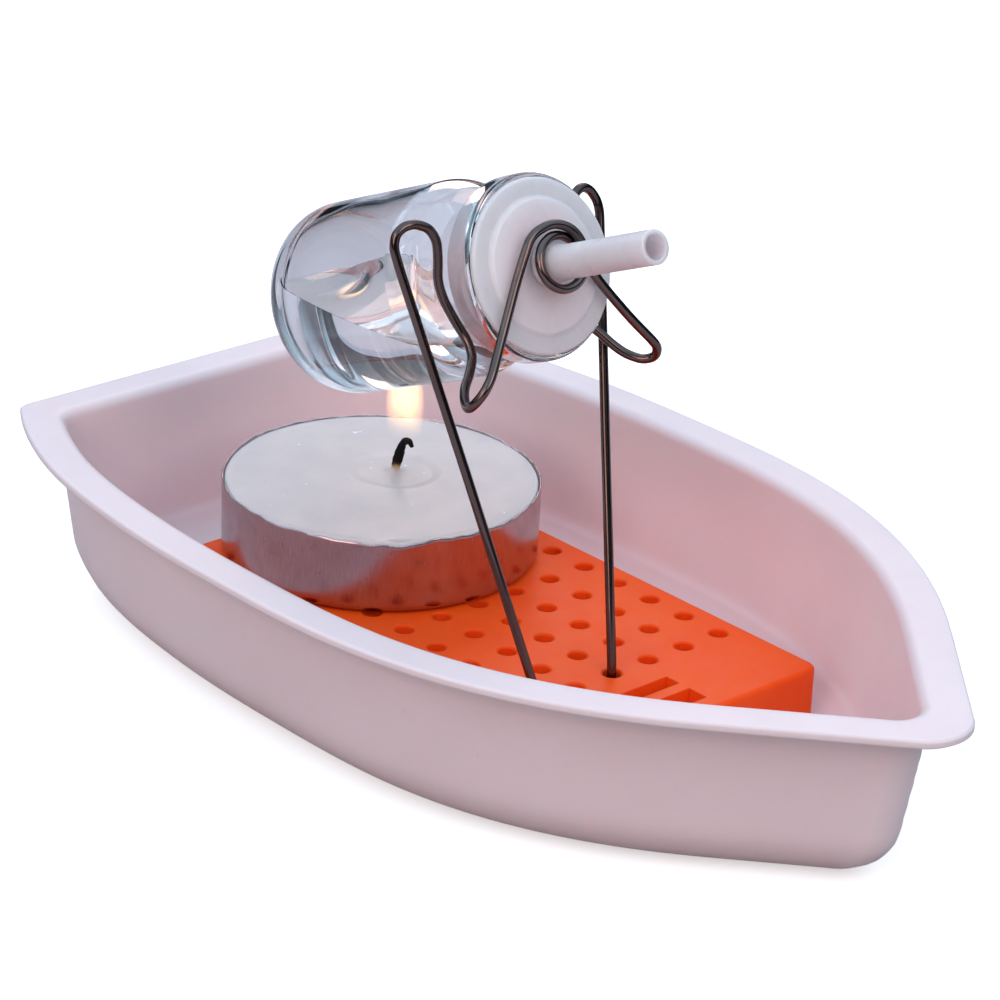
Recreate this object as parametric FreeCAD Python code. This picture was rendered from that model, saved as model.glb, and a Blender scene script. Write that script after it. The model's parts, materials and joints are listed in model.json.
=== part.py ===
import FreeCAD, Part
import math
import os

# Candle-heated steam-jet boat model. Millimetres, +Z up, +X toward the bow.
# Origin: bottom centre of the hull's bounding box.

V = FreeCAD.Vector

# ---- driving dimensions -------------------------------------------------
# hull
HULL_LEN = 124.4          # transom face to bow tip, over the flange
RIM_Z = 21.2              # top of the flange
WALL = 1.0                # sheet thickness
FLANGE_W = 3.9            # flange width
DRAFT = math.radians(7.2)
BILGE_R = 7.0             # outer radius between side and bottom
BOW_R = 5.76              # flange corner radius at the bow
SIDE = [(-62.2, 25.2), (-58.75, 27.3), (-52.75, 30.2), (-46.75, 32.4), (-34.75, 34.9), (-22.75, 36.1),
        (-8.75, 36.4), (5.25, 35.9), (19.25, 33.1), (31.25, 27.9), (41.25, 21.2),
        (49.25, 14.25), (53.25, 10.65), (60.6, 4.0)]   # half-beam of the flange edge
# perforated deck block
BLK_X0, BLK_X1 = -40.6, 25.9
BLK_HALF = 19.7
BLK_Z0, BLK_TOP = WALL, 8.5
PITCH = 5.5
HOLE_R = 1.05
HOLE_DEPTH = 5.0
HOLE_LEAD = 0.18          # chamfer round each hole's mouth
HOLE_X0 = 13.25           # column nearest the bow
N_COL, N_ROW = 10, 7
SLOT_HALF = 4.2
SLOTS = [(17.5, 19.5), (21.0, 23.7)]
SLOT_DEPTH = 4.0
CORNER_GAP = 0.15
# stand wire
WIRE_R = 0.52
ROW_Y = -5.5              # stand's plane of symmetry
FOOT_W = 5.5
# vial, on an axis in the plane y = ROW_Y
TILT = math.radians(23.0)
LIP = V(5.4, ROW_Y, 54.72)
VIAL_LEN = 37.6
BODY_R, LIP_R, NECK_R, BORE_R = 10.8, 10.0, 8.1, 6.3
HEEL_R = 4.8             # outer radius between the body and the base
GLASS = 1.0
BASE_T = 3.6
LIP_FRONT = -1.1          # glass lip face, measured along the axis from LIP
WATER_Z = 44.7
WATER_GAP = 0.05
# stopper and nozzle
STOP_R, BOSS_R = 9.4, 7.05
STOP_FRONT, BOSS_FRONT = -0.35, 0.1
PLUG_BACK = -7.2
TUBE_R, TUBE_BORE, COLLAR_R = 1.85, 1.35, 2.2
TUBE_TIP, TUBE_TAIL = 17.3, -7.2
COLLAR_END, TAPER_END = 1.4, 3.4
RUN_FIT = 0.03
# candle
CAN_X, CAN_Y = -27.3, 1.1
CUP_R, CUP_H, CUP_T = 18.6, 9.2, 0.3
WAX_TOP = 8.8             # above the cup's underside
WICK_DX, WICK_DY = -0.66, 2.6
WICK_R = 0.6
TAB_R, TAB_T, NECK_O, NECK_H = 6.0, 0.3, 1.15, 2.4

os.makedirs("parts", exist_ok=True)


def save(name, shape):
    shape.exportStep("parts/%s.step" % name)
    print(name, "solids", len(shape.Solids), "valid", shape.isValid(), "vol %.2f" % shape.Volume)


# ---- hull ---------------------------------------------------------------
def _bspline(pts):
    c = Part.BSplineCurve()
    c.interpolate([V(x, y, 0) for x, y in pts])
    return c


SIDE_CURVE = _bspline(SIDE)
XT = -HULL_LEN / 2


def offset_sample(d, n=900):
    """points and outward normals of the side curve moved inward by d"""
    a, b = SIDE_CURVE.FirstParameter, SIDE_CURVE.LastParameter
    out = []
    for i in range(n + 1):
        u = a + (b - a) * i / n
        p = SIDE_CURVE.value(u)
        t = SIDE_CURVE.tangent(u)[0]
        nx, ny = -t.y, t.x
        if ny < 0:
            nx, ny = -nx, -ny
        out.append((p.x - nx * d, p.y - ny * d, nx, ny))
    return out


def outline(d, z, r_bow, r_stern):
    """closed wire: transom, rounded corners, two sides and a rounded bow, at inset d"""
    s = offset_sample(d)
    # extend past the last sample in a straight line so a wide inset still meets the axis
    x, y, nx, ny = s[-1]
    tx, ty = ny, -nx
    for k in range(1, 80):
        s.append((x + tx * k * 0.25, y + ty * k * 0.25, nx, ny))
    # bow circle centred on y = 0
    ib = next(i for i, (px, py, ax, ay) in enumerate(s) if py - r_bow * ay <= 0)
    # stern circle tangent to the transom line
    xt = XT + d
    it = next(i for i, (px, py, ax, ay) in enumerate(s) if px - r_stern * ax >= xt + r_stern)
    keep = s[it:ib + 1]
    step = max(1, len(keep) // 14)
    pts = [(p[0], p[1]) for p in keep[::step]]
    last = (keep[-1][0], keep[-1][1])
    if math.hypot(pts[-1][0] - last[0], pts[-1][1] - last[1]) < 2.0:
        pts.pop()
    pts.append(last)
    cb = keep[-1][0] - r_bow * keep[-1][2]
    tip = V(cb + r_bow, 0, z)
    c0 = keep[0]
    cx, cy = c0[0] - r_stern * c0[2], c0[1] - r_stern * c0[3]
    a0 = math.atan2(c0[3], c0[2])
    am = (a0 + math.pi) / 2
    mid = (cx + r_stern * math.cos(am), cy + r_stern * math.sin(am))
    far = _bspline(pts)
    far_e = far.toShape()
    far_e.translate(V(0, 0, z))
    near = _bspline([(px, -py) for px, py in reversed(pts)])
    near_e = near.toShape()
    near_e.translate(V(0, 0, z))
    A, B = V(xt, cy, z), V(pts[0][0], pts[0][1], z)
    E = V(pts[-1][0], pts[-1][1], z)
    edges = [
        Part.LineSegment(V(xt, -cy, z), A).toShape(),
        Part.Arc(A, V(mid[0], mid[1], z), B).toShape(),
        far_e,
        Part.Arc(E, tip, V(E.x, -E.y, z)).toShape(),
        near_e,
        Part.Arc(V(B.x, -B.y, z), V(mid[0], -mid[1], z), V(xt, -cy, z)).toShape(),
    ]
    return Part.Wire(edges)


def shell_sections(d_top, r, z_bot, z_top):
    """inset and height of each section of a drafted wall with a rounded bottom edge"""
    zt = z_bot + r * (1 - math.sin(DRAFT))
    d_at = lambda z: d_top + (RIM_Z - z) * math.tan(DRAFT)
    dc = d_at(zt) + r * math.cos(DRAFT)
    sec = [(d_top + (RIM_Z - z_top) * math.tan(DRAFT), z_top), (d_at(zt), zt)]
    arc = []
    for k in range(1, 8):
        th = DRAFT + (math.pi / 2 - DRAFT) * k / 7.0
        arc.append((dc - r * math.cos(th), z_bot + r * (1 - math.sin(th))))
    return sec, arc


def bowl(d_top, r, z_bot, z_top, r_bow, r_stern):
    sec, arc = shell_sections(d_top, r, z_bot, z_top)
    w = [outline(d, z, r_bow, r_stern) for d, z in sec]
    wall = Part.makeLoft(w, True, True)
    wb = [w[-1]] + [outline(d, z, r_bow, r_stern) for d, z in arc]
    bilge = Part.makeLoft(wb, True, True)
    return wall.fuse(bilge)


outer = bowl(FLANGE_W, BILGE_R, 0.0, RIM_Z, 4.4, 3.0)
inner = bowl(FLANGE_W + WALL, BILGE_R - WALL, WALL, RIM_Z + 2.0, 3.6, 2.2)
flange = Part.Face(outline(0.0, RIM_Z - WALL, BOW_R, 1.6)).extrude(V(0, 0, WALL))
hull = outer.fuse(flange).cut(inner)
hull = hull.removeSplitter()
print("hull box", hull.BoundBox.XMin, hull.BoundBox.XMax, hull.BoundBox.YMin, hull.BoundBox.YMax, hull.BoundBox.ZMax)
save("hull", hull)

# ---- perforated deck block ---------------------------------------------
blk = Part.makeBox(BLK_X1 - BLK_X0, 2 * BLK_HALF, BLK_TOP - BLK_Z0, V(BLK_X0, -BLK_HALF, BLK_Z0))
vert = [e for e in blk.Edges if abs(e.tangentAt(e.FirstParameter).z) > 0.9]
blk = blk.makeFillet(1.4, vert)
top = [e for e in blk.Edges if e.BoundBox.ZMin > BLK_TOP - 1e-3]
blk = blk.makeFillet(0.6, top)
bot = [e for e in blk.Edges if e.BoundBox.ZMax < BLK_Z0 + 1e-3]
blk = blk.makeChamfer(0.8, bot)
# the two bow corners are relieved where the bilge rises under them
clear = bowl(FLANGE_W + WALL + CORNER_GAP, BILGE_R - WALL, WALL, RIM_Z + 2.0, 3.6, 2.2)
blk = blk.common(clear)
tools = []
for i in range(N_COL):
    for j in range(N_ROW):
        x = HOLE_X0 - i * PITCH
        y = (j - (N_ROW - 1) / 2.0) * PITCH
        tools.append(Part.makeCylinder(HOLE_R, HOLE_DEPTH + 1, V(x, y, BLK_TOP - HOLE_DEPTH)))
        tools.append(Part.makeCone(HOLE_R, HOLE_R + 2 * HOLE_LEAD, 2 * HOLE_LEAD, V(x, y, BLK_TOP - HOLE_LEAD)))
for x0, x1 in SLOTS:
    tools.append(Part.makeBox(x1 - x0, 2 * SLOT_HALF, SLOT_DEPTH + 1, V(x0, -SLOT_HALF, BLK_TOP - SLOT_DEPTH)))
for tool in tools:
    blk = blk.cut(tool)
print("block and hull overlap", blk.common(hull).Volume, "gap at the corner", blk.distToShape(hull)[0])
save("base_block", blk)


# ---- vial frame ---------------------------------------------------------
AX = V(math.cos(TILT), 0, math.sin(TILT))
DN = V(math.sin(TILT), 0, -math.cos(TILT))


def on_axis(s):
    return LIP + AX * s


def revolve(profile):
    """profile is a closed list of (s, r); revolved about the vial's axis"""
    pts = [LIP + AX * s - DN * r for s, r in profile]
    w = Part.makePolygon(pts + [pts[0]])
    return Part.Face(w).revolve(LIP, AX, 360)


def polar(s, r, a):
    """a in degrees, 0 toward -Y, 90 up"""
    a = math.radians(a)
    return LIP + AX * s + V(0, -1, 0) * (r * math.cos(a)) - DN * (r * math.sin(a))


# ---- stand wire ---------------------------------------------------------
# each side as (x, distance from the stand's plane, z); the two sides are bent by hand and differ a little
LEG = [(13.25, 5.5, BLK_TOP - HOLE_DEPTH), (13.25, 5.5, BLK_TOP + 0.2), (5.6, 10.0, 33.0)]
NEAR = LEG + [(-1.6, 14.15, 55.2), (-2.3, 14.45, 57.4), (-2.45, 14.1, 58.7), (-2.35, 13.2, 59.4), (-2.06, 11.95, 59.6),
              (-1.6, 10.31, 58.93), (-1.2, 9.5, 57.5), (-1.03, 9.36, 55.3), (-0.97, 9.42, 53.1), (-0.39, 8.98, 51.0),
              (0.71, 8.14, 48.7), (1.9, 7.56, 47.0), (3.2, 7.79, 45.6), (4.54, 9.42, 44.2), (5.34, 10.76, 43.4),
              (6.62, 11.86, 42.73), (8.2, 12.8, 42.5), (9.38, 13.17, 43.3), (10.1, 12.52, 44.6), (9.99, 11.33, 46.0),
              (8.23, 8.41, 49.5), (6.55, 5.13, 54.47), (6.14, 3.99, 56.43)]
FAR = LEG + [(-1.6, 14.31, 55.76), (-2.03, 14.22, 56.93), (-2.35, 13.4, 58.2), (-2.15, 11.9, 58.9), (-1.8, 10.4, 58.3),
             (-1.35, 9.6, 56.7), (-1.03, 9.36, 54.5), (-0.85, 9.3, 52.6), (-0.39, 8.98, 51.0), (0.71, 8.14, 48.7),
             (1.9, 7.56, 47.0), (3.2, 8.2, 45.8), (4.28, 9.4, 44.75), (5.45, 10.38, 43.44), (6.69, 11.34, 42.48),
             (8.19, 12.43, 42.07), (9.29, 13.19, 42.57), (9.86, 12.92, 43.94), (9.7, 11.95, 45.06), (8.98, 9.57, 47.61),
             (7.95, 7.5, 50.3), (6.95, 5.5, 53.0), (6.14, 3.99, 56.43)]
near = [V(x, ROW_Y - w, z) for x, w, z in NEAR]
far = [V(x, ROW_Y + w, z) for x, w, z in reversed(FAR)]
COIL = [(1.65, 4.3, 55), (2.1, 4.3, 95), (2.5, 4.1, 130), (2.7, 3.6, 168), (2.7, 3.2, 205), (2.65, 3.0, 245),
        (2.6, 2.95, 285), (2.5, 2.95, 325), (2.4, 2.95, 365), (2.25, 2.95, 405), (2.0, 2.97, 445), (1.65, 3.2, 480)]
path = near + [polar(s, r, a) for s, r, a in COIL] + far


def rounded_path(pts, share=0.45, rmax=60.0):
    edges = []
    cur = pts[0]
    radii = []
    for i in range(1, len(pts) - 1):
        a, b, c = pts[i - 1], pts[i], pts[i + 1]
        u = (a - b).normalize()
        v = (c - b).normalize()
        turn = math.pi - u.getAngle(v)
        if turn < 1e-3:
            continue
        lim = share * min((a - b).Length, (c - b).Length)
        r = min(rmax, lim / math.tan(turn / 2))
        t = r * math.tan(turn / 2)
        p, q = b + u * t, b + v * t
        bis = (u + v).normalize()
        m = b + bis * (r / math.cos(turn / 2) - r)
        if (p - cur).Length > 1e-4:
            edges.append(Part.LineSegment(cur, p).toShape())
        edges.append(Part.Arc(p, m, q).toShape())
        cur = q
        radii.append(round(r, 2))
    edges.append(Part.LineSegment(cur, pts[-1]).toShape())
    return Part.Wire(edges), radii


wire_path, radii = rounded_path(path)
print("wire radii", radii)
prof = Part.Wire([Part.Circle(path[0], V(0, 0, 1), WIRE_R).toShape()])
ps = Part.BRepOffsetAPI.MakePipeShell(wire_path)
ps.add(prof)
ps.setTransitionMode(1)
ps.build()
ps.makeSolid()
stand = ps.shape()
print("wire volume", stand.Volume, "expected", math.pi * WIRE_R ** 2 * wire_path.Length, "length", wire_path.Length)


# ---- vial ---------------------------------------------------------------
S0 = -VIAL_LEN
SB = S0 + BASE_T


def arc_pts(cs, cr, r, a0, a1, n=6):
    return [(cs + r * math.cos(math.radians(a0 + (a1 - a0) * k / n)), cr + r * math.sin(math.radians(a0 + (a1 - a0) * k / n)))
            for k in range(n + 1)]


def cavity(gap):
    """profile of the space inside the glass, shrunk by gap"""
    r = BODY_R - GLASS - gap
    return ([(SB + gap, 0.0)] + arc_pts(SB + gap + 2.2, r - 2.2, 2.2, 180, 90)
            + arc_pts(-14.4, r - 3.0, 3.0, 90, 40, 5)
            + [(-10.2, BORE_R - gap + 0.9), (-9.2, BORE_R - gap), (LIP_FRONT + 1.0, BORE_R - gap), (LIP_FRONT + 1.0, 0.0)])


glass = ([(S0, 0.0)] + arc_pts(S0 + HEEL_R, BODY_R - HEEL_R, HEEL_R, 180, 90, 9)
         + arc_pts(-13.6, BODY_R - 3.4, 3.4, 90, 35, 5)
         + [(-9.3, NECK_R + 0.5), (-8.6, NECK_R), (-4.9, NECK_R), (-4.4, LIP_R - 0.5), (-3.9, LIP_R),
            (LIP_FRONT - 0.6, LIP_R), (LIP_FRONT, LIP_R - 0.6), (LIP_FRONT, 0.0)])
vial = revolve(glass).cut(revolve(cavity(0.0)))
save("vial", vial)

# ---- water, level with the horizon, at the low end ----------------------
fill = revolve([p for p in cavity(WATER_GAP)])
keep = Part.makeBox(120, 60, 80, V(-70, ROW_Y - 30, WATER_Z - 80))
water = fill.common(keep)
water = water.common(Part.makeBox(60, 60, 90, on_axis(-9.4) - V(60, 30, 45)))
save("water", water)

# ---- stopper and nozzle -------------------------------------------------
b = TUBE_R + RUN_FIT
stop = [(PLUG_BACK, b), (PLUG_BACK, BORE_R - 0.7), (PLUG_BACK + 1.0, BORE_R - 0.02), (LIP_FRONT, BORE_R - 0.02), (LIP_FRONT, STOP_R),
        (STOP_FRONT - 0.15, STOP_R), (STOP_FRONT, STOP_R - 0.15), (STOP_FRONT, BOSS_R + 0.3), (BOSS_FRONT, BOSS_R), (BOSS_FRONT, b)]
stopper = revolve(stop)
save("stopper", stopper)

tube = [(TUBE_TAIL, TUBE_BORE), (TUBE_TAIL, TUBE_R), (BOSS_FRONT, TUBE_R), (BOSS_FRONT, COLLAR_R), (COLLAR_END, COLLAR_R), (TAPER_END, TUBE_R),
        (TUBE_TIP, TUBE_R), (TUBE_TIP, TUBE_BORE)]
nozzle = revolve(tube)
save("nozzle_tube", nozzle)
save("wire_stand", stand)
for label, other in (("vial", vial), ("stopper", stopper), ("nozzle", nozzle), ("block", blk)):
    print("stand to", label, "gap", round(stand.distToShape(other)[0], 3), "overlap", round(stand.common(other).Volume, 4))

# ---- candle -------------------------------------------------------------
zc = BLK_TOP
cup = Part.makeCylinder(CUP_R, CUP_H, V(CAN_X, CAN_Y, zc))
cup = cup.makeFillet(0.8, [e for e in cup.Edges if e.BoundBox.ZMax < zc + 1e-3])
hollow = Part.makeCylinder(CUP_R - CUP_T, CUP_H, V(CAN_X, CAN_Y, zc + CUP_T))
hollow = hollow.makeFillet(0.5, [e for e in hollow.Edges if e.BoundBox.ZMax < zc + CUP_T + 1e-3])
save("candle_cup", cup.cut(hollow))

wx, wy = CAN_X + WICK_DX, CAN_Y + WICK_DY
tz = zc + CUP_T
tab = Part.makeCylinder(TAB_R, TAB_T, V(wx, wy, tz)).fuse(Part.makeCylinder(NECK_O, NECK_H, V(wx, wy, tz)))
tab = tab.cut(Part.makeCylinder(WICK_R, NECK_H + 1, V(wx, wy, tz)))
save("wick_sustainer", tab.removeSplitter())

wpts = [V(wx, wy, tz), V(wx, wy, zc + WAX_TOP + 0.8), V(wx + 1.0, wy, zc + WAX_TOP + 2.4), V(wx + 2.9, wy, zc + WAX_TOP + 3.9)]
wp, _ = rounded_path(wpts)
wprof = Part.Wire([Part.Circle(wpts[0], V(0, 0, 1), WICK_R).toShape()])
wps = Part.BRepOffsetAPI.MakePipeShell(wp)
wps.add(wprof)
wps.build()
wps.makeSolid()
wick = wps.shape()
save("candle_wick", wick)

wax = hollow.common(Part.makeBox(60, 60, WAX_TOP - CUP_T, V(CAN_X - 30, CAN_Y - 30, zc + CUP_T)))
wax = wax.cut(Part.makeCylinder(TAB_R, TAB_T, V(wx, wy, tz))).cut(Part.makeCylinder(NECK_O, NECK_H, V(wx, wy, tz)))
wax = wax.cut(Part.makeCylinder(WICK_R, 20, V(wx, wy, tz)))
save("candle_wax", wax)
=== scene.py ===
import json
import math

import bmesh
import bpy
import numpy as np
from mathutils import Matrix, Vector


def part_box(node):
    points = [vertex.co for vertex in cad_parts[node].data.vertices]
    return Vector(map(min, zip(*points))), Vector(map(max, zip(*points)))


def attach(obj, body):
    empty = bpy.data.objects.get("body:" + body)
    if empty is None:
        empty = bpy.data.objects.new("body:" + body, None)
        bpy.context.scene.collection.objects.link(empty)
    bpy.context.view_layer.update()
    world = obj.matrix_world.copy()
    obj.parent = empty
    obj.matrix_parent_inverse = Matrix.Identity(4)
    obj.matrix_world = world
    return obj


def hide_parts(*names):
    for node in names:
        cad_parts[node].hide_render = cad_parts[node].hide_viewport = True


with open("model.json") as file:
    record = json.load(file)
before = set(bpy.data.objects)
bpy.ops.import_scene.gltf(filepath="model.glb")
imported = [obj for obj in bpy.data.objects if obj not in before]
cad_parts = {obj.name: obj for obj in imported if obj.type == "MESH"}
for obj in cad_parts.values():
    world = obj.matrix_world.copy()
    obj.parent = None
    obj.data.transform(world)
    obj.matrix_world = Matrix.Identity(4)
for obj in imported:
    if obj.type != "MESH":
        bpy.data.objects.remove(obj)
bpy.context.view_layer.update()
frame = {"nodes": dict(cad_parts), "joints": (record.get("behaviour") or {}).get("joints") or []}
scene = bpy.context.scene
MM = 0.001
nodes = frame["nodes"]
joints = {j["name"]: j for j in frame["joints"]}


def cad_mm(node):
    lo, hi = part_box(node)
    return np.array(lo) / MM, np.array(hi) / MM


# ------------------------------------------------------------ mesh helpers
def make_mesh(name, verts_mm, faces, smooth=True):
    me = bpy.data.meshes.new(name)
    me.from_pydata([tuple(float(c) * MM for c in v) for v in verts_mm], [], faces)
    me.update()
    bm = bmesh.new()
    bm.from_mesh(me)
    bmesh.ops.remove_doubles(bm, verts=bm.verts, dist=1e-7)
    bmesh.ops.recalc_face_normals(bm, faces=bm.faces)
    bm.to_mesh(me)
    bm.free()
    for p in me.polygons:
        p.use_smooth = smooth
    ob = bpy.data.objects.new(name, me)
    scene.collection.objects.link(ob)
    return ob


def loft(rings, close_ring=True, close_loft=False, cap_first=False, cap_last=False, base=0):
    """faces joining successive rings of equal length"""
    n = len(rings[0])
    verts = [p for r in rings for p in r]
    faces = []
    m = len(rings)
    for i in range(m if close_loft else m - 1):
        a, b = i * n, ((i + 1) % m) * n
        for j in range(n if close_ring else n - 1):
            k = (j + 1) % n
            faces.append((base + a + j, base + a + k, base + b + k, base + b + j))
    if cap_first:
        faces.append(tuple(base + j for j in reversed(range(n))))
    if cap_last:
        faces.append(tuple(base + (m - 1) * n + j for j in range(n)))
    return verts, faces


def smooth_corners(pts, radii, closed=True, n=5):
    """replace each corner of a polygon profile by a small arc"""
    out = []
    m = len(pts)
    for i, p in enumerate(pts):
        r = radii[i] if isinstance(radii, (list, tuple)) else radii
        if r <= 0 or (not closed and i in (0, m - 1)):
            out.append(tuple(p))
            continue
        p = np.array(p, float)
        a, c = np.array(pts[i - 1], float), np.array(pts[(i + 1) % m], float)
        la, lc = np.linalg.norm(a - p), np.linalg.norm(c - p)
        if la < 1e-9 or lc < 1e-9:
            out.append(tuple(p))
            continue
        u, w = (a - p) / la, (c - p) / lc
        cosang = float(np.clip(u @ w, -1, 1))
        ang = math.acos(cosang)
        if ang > math.pi - 0.05:
            out.append(tuple(p))
            continue
        t = min(r / math.tan(ang / 2), 0.48 * la, 0.48 * lc)
        rr = t * math.tan(ang / 2)
        bis = (u + w) / np.linalg.norm(u + w)
        ctr = p + bis * rr / math.sin(ang / 2)
        s, e = p + u * t - ctr, p + w * t - ctr
        for k in range(n + 1):
            q = s + (e - s) * k / n
            q = q / np.linalg.norm(q) * rr
            out.append(tuple(ctr + q))
    return out


def lathe(name, profile, origin, axis, seg=192, closed=True, wobble=None):
    """profile is a list of (s, r) in mm along axis from origin; r = 0 points close on the axis"""
    ax = Vector(axis).normalized()
    ref = Vector((0, 1, 0)) if abs(ax.y) < 0.9 else Vector((1, 0, 0))
    u = (ref - ax * ref.dot(ax)).normalized()
    w = ax.cross(u)
    verts, index = [], []
    for s, r in profile:
        if r < 1e-6:
            index.append([len(verts)] * seg)
            verts.append(Vector(origin) + ax * s)
        else:
            row = []
            for k in range(seg):
                a = 2 * math.pi * k / seg
                rr, ss = r, s
                if wobble:
                    ss, rr = wobble(s, r, a)
                row.append(len(verts))
                verts.append(Vector(origin) + ax * ss + (u * math.cos(a) + w * math.sin(a)) * rr)
            index.append(row)
    faces = []
    m = len(profile)
    for i in range(m if closed else m - 1):
        a, b = index[i], index[(i + 1) % m]
        for k in range(seg):
            l = (k + 1) % seg
            f = [a[k], a[l], b[l], b[k]]
            g = []
            for v in f:
                if v not in g:
                    g.append(v)
            if len(g) > 2:
                faces.append(tuple(g))
    return make_mesh(name, verts, faces)


def tube(name, points, radii, seg=24, squeeze=None):
    """a closed round tube through dense points, with rounded ends"""
    P = [Vector(p) for p in points]
    T = []
    for i in range(len(P)):
        a, b = P[max(0, i - 1)], P[min(len(P) - 1, i + 1)]
        T.append((b - a).normalized())
    nrm = T[0].orthogonal().normalized()
    rings = []
    for i, (p, t) in enumerate(zip(P, T)):
        nrm = (nrm - t * nrm.dot(t)).normalized()
        bi = t.cross(nrm)
        r = radii[i] if hasattr(radii, "__len__") else radii
        ring = []
        for k in range(seg):
            a = 2 * math.pi * k / seg
            rr = r * (squeeze(i, a) if squeeze else 1.0)
            ring.append(p + (nrm * math.cos(a) + bi * math.sin(a)) * rr)
        rings.append(ring)
    # rounded end caps
    r0 = radii[0] if hasattr(radii, "__len__") else radii
    r1 = radii[-1] if hasattr(radii, "__len__") else radii

    def cap(ring, centre, t, r):
        out = []
        for q in (0.85, 0.5):
            off = t * (r * 0.45 * math.sqrt(1 - q * q))
            out.append([centre + (v - centre) * q + off for v in ring])
        return out
    start = cap(rings[0], P[0], -T[0], r0)
    end = cap(rings[-1], P[-1], T[-1], r1)
    rings = [start[1], start[0]] + rings + [end[0], end[1]]
    v, f = loft(rings, cap_first=True, cap_last=True)
    return make_mesh(name, v, f)


def dense(points, step=0.35):
    """smooth centripetal spline through control points, sampled evenly"""
    P = [np.array(p, float) for p in points]
    P = [2 * P[0] - P[1]] + P + [2 * P[-1] - P[-2]]
    out = []
    for i in range(1, len(P) - 2):
        p0, p1, p2, p3 = P[i - 1], P[i], P[i + 1], P[i + 2]
        t0 = 0.0
        t1 = t0 + max(1e-6, np.linalg.norm(p1 - p0)) ** 0.5
        t2 = t1 + max(1e-6, np.linalg.norm(p2 - p1)) ** 0.5
        t3 = t2 + max(1e-6, np.linalg.norm(p3 - p2)) ** 0.5
        n = max(2, int(np.linalg.norm(p2 - p1) / step))
        for k in range(n):
            t = t1 + (t2 - t1) * k / n
            A1 = (t1 - t) / (t1 - t0) * p0 + (t - t0) / (t1 - t0) * p1
            A2 = (t2 - t) / (t2 - t1) * p1 + (t - t1) / (t2 - t1) * p2
            A3 = (t3 - t) / (t3 - t2) * p2 + (t - t2) / (t3 - t2) * p3
            B1 = (t2 - t) / (t2 - t0) * A1 + (t - t0) / (t2 - t0) * A2
            B2 = (t3 - t) / (t3 - t1) * A2 + (t - t1) / (t3 - t1) * A3
            out.append((t2 - t) / (t2 - t1) * B1 + (t - t1) / (t2 - t1) * B2)
    out.append(P[-2])
    return out


def value_noise(seed):
    """smooth periodic noise of an angle, a sum of seeded harmonics"""
    rng = np.random.default_rng(seed)

    def f(a, lo=2, hi=18, fall=1.0):
        return sum(c / k ** fall * math.sin(k * a + ph) for k, c, ph in f.terms if lo <= k <= hi)
    f.terms = [(k, rng.uniform(0.4, 1.0), rng.uniform(0, 2 * math.pi)) for k in range(1, 60)]
    return f


# -------------------------------------------------------- material helpers
class Mat:
    def __init__(self, name):
        self.m = bpy.data.materials.new(name)
        self.m.use_nodes = True
        self.nt = self.m.node_tree
        self.nt.nodes.clear()
        self.out = self.n("ShaderNodeOutputMaterial")
        self.b = self.n("ShaderNodeBsdfPrincipled")
        self.link(self.b.outputs[0], self.out.inputs["Surface"])
        self.tc = self.n("ShaderNodeTexCoord")

    def n(self, kind, **kw):
        node = self.nt.nodes.new(kind)
        for k, v in kw.items():
            setattr(node, k, v)
        return node

    def link(self, a, b):
        self.nt.links.new(a, b)

    def set(self, **kw):
        for k, v in kw.items():
            self.b.inputs[k.replace("_", " ")].default_value = v

    def coords(self, scale=(1, 1, 1), rot=(0, 0, 0), loc=(0, 0, 0)):
        mp = self.n("ShaderNodeMapping")
        mp.inputs["Scale"].default_value = scale
        mp.inputs["Rotation"].default_value = rot
        mp.inputs["Location"].default_value = loc
        self.link(self.tc.outputs["Object"], mp.inputs["Vector"])
        return mp.outputs[0]

    def noise(self, scale, detail=4, rough=0.55, vec=None, dist=0.0):
        t = self.n("ShaderNodeTexNoise")
        t.inputs["Scale"].default_value = scale
        t.inputs["Detail"].default_value = detail
        t.inputs["Roughness"].default_value = rough
        t.inputs["Distortion"].default_value = dist
        self.link(vec if vec is not None else self.tc.outputs["Object"], t.inputs["Vector"])
        return t.outputs["Fac"]

    def ramp(self, fac, stops):
        r = self.n("ShaderNodeValToRGB")
        e = r.color_ramp.elements
        while len(e) < len(stops):
            e.new(0.5)
        for el, (p, c) in zip(e, stops):
            el.position = p
            el.color = c if len(c) == 4 else (*c, 1)
        self.link(fac, r.inputs[0])
        return r.outputs[0]

    def range(self, fac, a0, a1, b0, b1):
        r = self.n("ShaderNodeMapRange")
        r.inputs[1].default_value, r.inputs[2].default_value = a0, a1
        r.inputs[3].default_value, r.inputs[4].default_value = b0, b1
        self.link(fac, r.inputs[0])
        return r.outputs[0]

    def mix(self, fac, a, b, mode="MIX"):
        r = self.n("ShaderNodeMix", data_type="RGBA", blend_type=mode)
        for socket, val in ((r.inputs[0], fac), (r.inputs[6], a), (r.inputs[7], b)):
            if isinstance(val, (int, float)):
                socket.default_value = val
            elif isinstance(val, tuple):
                socket.default_value = val if len(val) == 4 else (*val, 1)
            else:
                self.link(val, socket)
        return r.outputs[2]

    def math(self, op, a, b=None):
        r = self.n("ShaderNodeMath", operation=op)
        for i, val in enumerate((a, b)):
            if val is None:
                continue
            if isinstance(val, (int, float)):
                r.inputs[i].default_value = val
            else:
                self.link(val, r.inputs[i])
        return r.outputs[0]

    def bump(self, height, strength=0.2, distance=0.1 * MM, normal=None):
        b = self.n("ShaderNodeBump")
        b.inputs["Strength"].default_value = strength
        b.inputs["Distance"].default_value = distance
        self.link(height, b.inputs["Height"])
        if normal is not None:
            self.link(normal, b.inputs["Normal"])
        return b.outputs[0]

    def to(self, value, name):
        self.link(value, self.b.inputs[name])


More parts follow.
